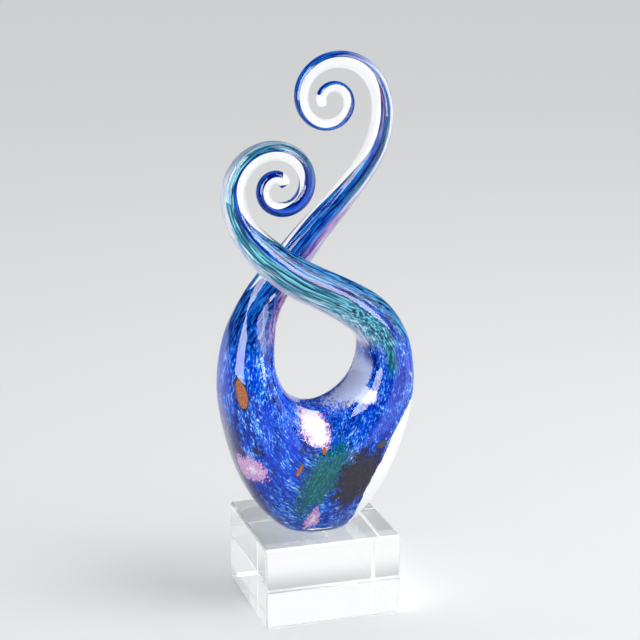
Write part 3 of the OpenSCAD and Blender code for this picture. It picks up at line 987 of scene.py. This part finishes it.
# How many controls short of the tips the colour stops, and half the pink cane's angle
tip_stop, pink_reach = 1.5, 36
inner_front = places_between(front_tip + tip_stop, front_cut, ARM_RINGS)
inner_rear = places_between(rear_cut, rear_tip - tip_stop, ARM_RINGS)
core = bar_piece("cobalt_core", loop_places, full_turn, inner_at, (core_glass,),
                 foot_level + loop_wall)
teal_cane = bar_piece("teal_cane", inner_front, arc(90, 270), inner_at, (teal_glass,))
front_cobalt_cane = bar_piece("front_cobalt_cane", inner_front, arc(-90, 90), inner_at,
                              (front_cobalt_glass,))
rear_cobalt_cane = bar_piece("rear_cobalt_cane", inner_rear,
                             arc(pink_reach, 360 - pink_reach, 64), inner_at,
                             (rear_cobalt_glass,))
rear_pink_cane = bar_piece("rear_pink_cane", inner_rear, arc(-pink_reach, pink_reach, 24),
                           inner_at, (pink_glass,))

# %% [markdown]
# ## Chips on the core
#
# A chip lies on the curved front of the core, so it can't be a flat disc. Its points are set out
# in the plane of the award as a round or long patch, and the core's own surface gives their
# depth. The surface is known by place along the bar and share across it, so those two are found
# from x and height by Newton's method, for all points of a chip at once.

# %% Find the core's surface
def core_front(places, across):
    """Points of the core's front, where out is (1 - |share|^p)^(1/p), and out itself."""
    sections = inner_at(places)
    power = sections[:, POWER]
    out = (1 - np.abs(across) ** power) ** (1 / power)
    return section_points(sections, across[:, None], out[:, None])[:, 0], out


def surface_at(places, across, nudge=1e-4):
    """Points of the core's front, and how far each moves along the bar and across it."""
    here, out = core_front(places, across)
    inward = -np.sign(across) * nudge
    along = (core_front(places + nudge, across)[0] - here) / nudge
    over = (core_front(places, across + inward)[0] - here) / inward[:, None]
    return here, along, over, out


def find_places(x, z, place, share, rounds=10, furthest=0.985):
    """Newton's method: place and share move by the two directions' inverse times the miss."""
    places, across = np.full(len(x), place), np.full(len(x), share)
    for _ in range(rounds):
        here, along, over, _ = surface_at(places, across)
        miss_x, miss_z = x - here[:, 0], z - here[:, 2]
        size = along[:, 0] * over[:, 2] - along[:, 2] * over[:, 0]
        places = places + (miss_x * over[:, 2] - miss_z * over[:, 0]) / size
        across = across + (along[:, 0] * miss_z - along[:, 2] * miss_x) / size
        across = np.clip(across, -furthest, furthest)
    return places, across


# %% Lay out the chips
# Place from the front cut to the rear cut, place across the colour, length, width for length,
# and degrees turned from straight down towards the right
copper_shares = [
    (0.90, 0.79, 0.95, 0.25, 6), (0.51, 0.24, 0.24, 0.70, 0),
    (0.59, 0.46, 0.44, 0.32, -28), (0.305, 0.64, 0.36, 0.45, -60),
]
white_shares = [
    (0.552, 0.08, 1.18, 0.86, 38), (0.70, 0.88, 0.98, 0.60, 44), (0.53, 0.82, 0.76, 0.50, -22),
]
green_shares = [(0.515, 0.46, 1.05, 0.48, -34)]
dark_shares = [(0.405, 0.62, 1.12, 0.54, -46)]
speck_shares = [
    (0.73, 0.76, 0.13, 0.60, 30), (0.60, 0.30, 0.10, 0.60, -20), (0.66, 0.66, 0.08, 0.70, 20),
]
# Length of the longest chip of each glass
colour_width = loop_width - 2 * loop_wall
copper_size, white_size = 0.182 * colour_width, 0.146 * colour_width
green_size, dark_size = 0.335 * colour_width, 0.305 * colour_width
print(f"the longest copper chip is {copper_size / MM:.0f} mm, the green patch "
      f"{green_size / MM:.0f} mm")

# %% Shape one chip
CHIP_AROUND, TOP_RINGS, UNDER_RINGS = 72, 14, 4
chip_turn = np.arange(CHIP_AROUND) / CHIP_AROUND * 2 * math.pi
# The top's rings go out to the rim and bend down there, and the underside's come back
top_reach = np.linspace(0.08, 1, TOP_RINGS)
ring_reach = np.concatenate([top_reach, np.linspace(1, 0.1, UNDER_RINGS)])


def uneven_rim(seed):
    """1 plus three small waves of 2, 3 and 7 bumps round the rim."""
    return (1 + 0.07 * np.sin(2 * chip_turn + seed) + 0.05 * np.sin(3 * chip_turn + 2.3 * seed)
            + 0.03 * np.sin(7 * chip_turn + 4.1 * seed))


def chip_rings(row, size, spread, height, seed, depth=0.6 * MM):
    """Rings over and under a chip, lifted off the core by height times (1 - reach^8)."""
    along_share, across_share, length, width, turn = row
    u = ring_reach[:, None] * np.cos(chip_turn)
    v = ring_reach[:, None] * np.sin(chip_turn)
    reach = uneven_rim(seed) * size * length * spread / 2
    down, side = u * reach, v * reach * width
    lean = math.radians(turn)
    start = front_cut + along_share * (rear_cut - front_cut), 2 * across_share - 1
    middle = core_front(np.array([start[0]]), np.array([start[1]]))[0][0]
    x = middle[0] + down * math.sin(lean) + side * math.cos(lean)
    z = middle[2] - down * math.cos(lean) + side * math.sin(lean)
    places, across = find_places(x.ravel(), z.ravel(), *start)
    here, along, over, out = surface_at(places, across)
    normal = np.cross(along, over)
    normal *= -np.sign(normal[:, 1:2]) / np.linalg.norm(normal, axis=1, keepdims=True)
    lift = np.concatenate([height * (1 - top_reach ** 8), np.full(UNDER_RINGS, -depth)])
    points = here + normal * np.repeat(lift, CHIP_AROUND)[:, None]
    return points.reshape(u.shape + (3,)), np.stack([places, across, out], axis=-1), u, v


# %% Lay the chips on the core
def chip_piece(name, rows, size, spread, height, material, tones=None):
    """All chips of one glass, as one mesh of closed shells."""
    points, faces, shares, marks = [], [], [], []
    for i, row in enumerate(rows):
        rings, share, u, v = chip_rings(row, size, spread, height, seed=1.7 * i + size * 900)
        shell, shell_faces = closed(rings, [rings[0].mean(axis=0), rings[-1].mean(axis=0)])
        start = sum(len(p) for p in points)
        points.append(shell)
        # The rings run the other way round than the bar's, so each face is turned over
        faces += [[corner + start for corner in face[::-1]] for face in shell_faces]
        shares += [share, [share[:CHIP_AROUND].mean(0), share[-CHIP_AROUND:].mean(0)]]
        tone = tones[i] if tones else 0.0
        marks += [np.stack([u, v, np.full(u.shape, tone)], axis=-1).reshape(-1, 3),
                  [[0, 0, tone], [0, 0, tone]]]
    piece = make_piece(name, np.concatenate(points), faces,
                       {"share": np.concatenate(shares), "chip": np.concatenate(marks)},
                       (material,))
    print(f"{name}: {len(rows)} chips")
    return piece


copper_chips = chip_piece("copper_chips", copper_shares, copper_size, 1.0, 0.25 * MM,
                          copper_glass, (0, 0, 0, 1))
white_chips = chip_piece("white_chips", white_shares, white_size, 1.45, 0.18 * MM,
                         white_glass, (0.0, 0.7, 0.6))
green_chip = chip_piece("green_patch", green_shares, green_size, 1.45, 0.12 * MM, green_glass)
dark_chip = chip_piece("dark_patch", dark_shares, dark_size, 1.4, 0.15 * MM, dark_glass)
specks = chip_piece("dark_specks", speck_shares, dark_size, 1.3, 0.15 * MM, dark_glass)

# %% [markdown]
# ## The bond
#
# A thin oval of clear adhesive holds the ground foot on the block. Its squeezed-out rim bulges a
# little. It reaches a hair into both neighbours, so that no two clear faces lie in one place.

# %% Press out the adhesive
bulge = np.linspace(-1, 1, 9)
film_reach = 1 + 0.012 * np.sqrt(1 - bulge ** 2)
film_overlap = 0.02 * MM
film_heights = block_height + film_thickness / 2 + bulge * (film_thickness / 2 + film_overlap)
film_rings = np.stack([
    film_reach[:, None] * film_width / 2 * np.cos(full_turn),
    film_reach[:, None] * film_depth / 2 * np.sin(full_turn),
    np.repeat(film_heights[:, None], AROUND, axis=1)], axis=-1)
film_points, film_faces = closed(film_rings, film_rings[[0, -1]].mean(axis=1))
adhesive_glass = clear_glass("clear_adhesive", (0.98, 0.985, 0.985), 1.5, (0.97, 0.98, 0.98), 0.5)
bond_film = make_piece("bond_film_oval", film_points, film_faces, materials=(adhesive_glass,))
print(f"adhesive {film_width / MM:.0f} x {film_depth / MM:.0f} mm")

# %% [markdown]
# ## Joining the pieces to the frame
#
# Nothing on the award moves, so every piece rides on its one body, the root. Each takes the place
# of a solid of the imported model, which is hidden. The block could be modelled again, but its
# flat polished faces are right as they were packed, so only its finish is changed.

# %% Ride on the root body and stand for the nodes
for piece, node, slot in (
    (loop_casing, "loop_casing", "clear_glass"),
    (front_casing, "front_arm_casing", "clear_glass"),
    (rear_casing, "rear_arm_casing", "clear_glass"),
    (core, "loop_colour_core", "cobalt_glass"),
    (teal_cane, "front_arm_teal_cane", "teal_glass"),
    (front_cobalt_cane, "front_arm_cobalt_cane", "cobalt_glass"),
    (rear_cobalt_cane, "rear_arm_cobalt_cane", "cobalt_glass"),
    (rear_pink_cane, "rear_arm_pink_cane", "pink_glass"),
    (copper_chips, "copper_chips", "copper_glass"),
    (white_chips, "pink_white_chips", "white_glass"),
    (green_chip, "green_patch", "green_glass"),
    (dark_chip, "dark_chips", "dark_glass"),
    (specks, "dark_chips", "dark_glass"),
    (bond_film, "bond_film", "clear_adhesive"),
):
    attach(piece, "root")
    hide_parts(node)
    print(f"{piece.name} stands for {node}")

block_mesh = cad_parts["crystal_base"].data
block_mesh.materials.clear()
block_mesh.materials.append(block_glass)

# %% [markdown]
# ## The floor and the light from all round
#
# The award stands on a plain pale floor in an even studio. Clear glass shows whatever lies behind
# it, and a grey floor would make it look like smoke, so rays that have come through glass find
# white instead, as over a lit table in a real studio. The world is dim for the rays that the glass
# mirrors, like the dark half of a studio, or a pale veil would lie over the deep colours.

# %% Tell the rays apart
def seen_through_glass(finish):
    """1 for rays that went through glass straight from the camera, which show a white ground."""
    return finish.ray("Is Transmission Ray") * (1 - finish.ray("Diffuse Depth").smaller(1.0))


def mirrored(finish):
    """1 for rays that a surface mirrors before they have gone through any glass."""
    return finish.ray("Is Glossy Ray") * (1 - finish.ray("Transmission Depth").smaller(1.0))


# %% Lay the floor
def floor_finish(name, colour, painted_shadow_colour):
    """Matt and pale, with a painted shadow under the block, and white through glass beside it."""
    finish = new_finish(name)
    x, y, _ = finish.parts(finish.place())
    # Painted shadow: under the block, rays other than camera and mirrored ones find grey and less
    # white.
    beside = abs(x).larger(abs(y)).step(block_width / 2, block_width)
    seen = finish.ray("Is Camera Ray") + mirrored(finish)
    matt = finish.principled(Base_Color=finish.mix(beside.larger(seen), painted_shadow_colour, colour),
                             Roughness=1.0, Specular_IOR_Level=0.0)
    white = finish.add("ShaderNodeEmission", {}, {"Color": (1, 1, 1, 1), "Strength": 1.0})
    whiteness = 0.08 + beside * 0.88
    return finish.surface(finish.blend(seen_through_glass(finish) * whiteness, matt, white))


floor_corners, floor_radius, floor_drop = 64, 6.0, 0.5 * MM
floor_turn = np.arange(floor_corners) / floor_corners * 2 * math.pi
floor_points = np.stack([floor_radius * np.cos(floor_turn), floor_radius * np.sin(floor_turn),
                         np.full(floor_corners, -floor_drop)], axis=-1)
# The second colour is the painted shadow under the block.
pale_floor = floor_finish("pale_floor", (0.80, 0.805, 0.81), (0.55, 0.56, 0.56))
floor = make_piece("floor", floor_points, [list(range(floor_corners))], materials=(pale_floor,))
print(f"a floor of {floor_radius:.0f} m radius")

# %% Light it from all round
studio = Finish(bpy.data.worlds.new("soft_studio"))
all_round, dark_half, behind_glass, far_floor = 0.77, 0.07, 1.0, 0.62
strength = (all_round - mirrored(studio) * (all_round - dark_half)
            + seen_through_glass(studio) * (behind_glass - all_round)
            - studio.ray("Is Camera Ray") * (all_round - far_floor))
sky = studio.add("ShaderNodeBackground", {}, {"Color": (0.99, 0.995, 1.0, 1),
                                              "Strength": strength})
bpy.context.scene.world = studio.surface(sky, "ShaderNodeOutputWorld")
print("world strength", all_round)

# %% [markdown]
# ## The lamps
#
# One soft box stands over the award. The long highlights on the real glass are mirror images of
# lit panels beside the camera. Brighter lamps could make them, but they would wash the colours
# out, so these cards are switched off for matt surfaces and for rays through glass, and only the
# polished surface mirrors them.

# %% Hang the lamps
def softbox(name, place, aim, width, height, watts):
    """A rectangular lamp at a place, turned to face the aim."""
    lamp = bpy.data.lights.new(name, "AREA")
    lamp.shape, lamp.size, lamp.size_y, lamp.energy = "RECTANGLE", width, height, watts
    holder = bpy.data.objects.new(name, lamp)
    holder.location = place
    holder.rotation_mode = "QUATERNION"
    holder.rotation_quaternion = (Vector(aim) - Vector(place)).to_track_quat("-Z", "Y")
    holder.visible_camera = False
    bpy.context.scene.collection.objects.link(holder)
    return holder


award_middle = (0, 0, 0.16)
softbox("top_box", (0.5, -0.4, 1.2), award_middle, 0.6, 0.6, 6.5)
# Each card's place, width, height and radiance. Its watts are radiance times pi times area.
for name, place, wide, high, radiance in (
    ("left_card", (-0.44, -0.18, 0.55), 0.46, 0.8, 11.0),
    ("right_card", (0.42, -0.19, 0.35), 0.30, 0.7, 1.8),
    ("veil_card", (0.26, -0.42, 0.35), 0.22, 0.7, 1.0),
    ("arm_card", (0.24, -0.48, 0.30), 0.13, 0.22, 12.0),
    ("inner_card", (0.29, -0.34, 0.50), 0.20, 0.30, 5.5),
):
    card = softbox(name, place, (0, 0, place[2]), wide, high, radiance * math.pi * wide * high)
    card.visible_diffuse = card.visible_transmission = False
    print(f"{name}: {wide} x {high} m")

# %% [markdown]
# ## The camera
#
# The photograph was taken from a little to the left and from above. The block's corners tell from
# where, because the block is square, and the camera stands at that angle and distance.

# %% Set up the camera
# The angle round from straight in front and up from the level, and the metres to the aim
azimuth, elevation = math.radians(-17.0), math.radians(15.9)
distance, focal_pixels = 1.1, 1945.0
image_pixels, sensor_width = 640, 36.0
back = Vector((math.sin(azimuth) * math.cos(elevation),
               -math.cos(azimuth) * math.cos(elevation), math.sin(elevation)))
right = Vector((math.cos(azimuth), math.sin(azimuth), 0))
aim = right * (3.8 * MM) + Vector((0, 0, 167.7 * MM))
camera_data = bpy.data.cameras.new("camera")
camera_data.sensor_width = sensor_width
camera_data.lens = focal_pixels / image_pixels * sensor_width
camera = bpy.data.objects.new("camera", camera_data)
camera.location = aim + back * distance
camera.rotation_mode = "QUATERNION"
camera.rotation_quaternion = (-back).to_track_quat("-Z", "Y")
bpy.context.scene.collection.objects.link(camera)
bpy.context.scene.camera = camera
bpy.context.scene.view_settings.view_transform = "Standard"
print(f"a {camera_data.lens:.0f} mm lens at {distance} m")
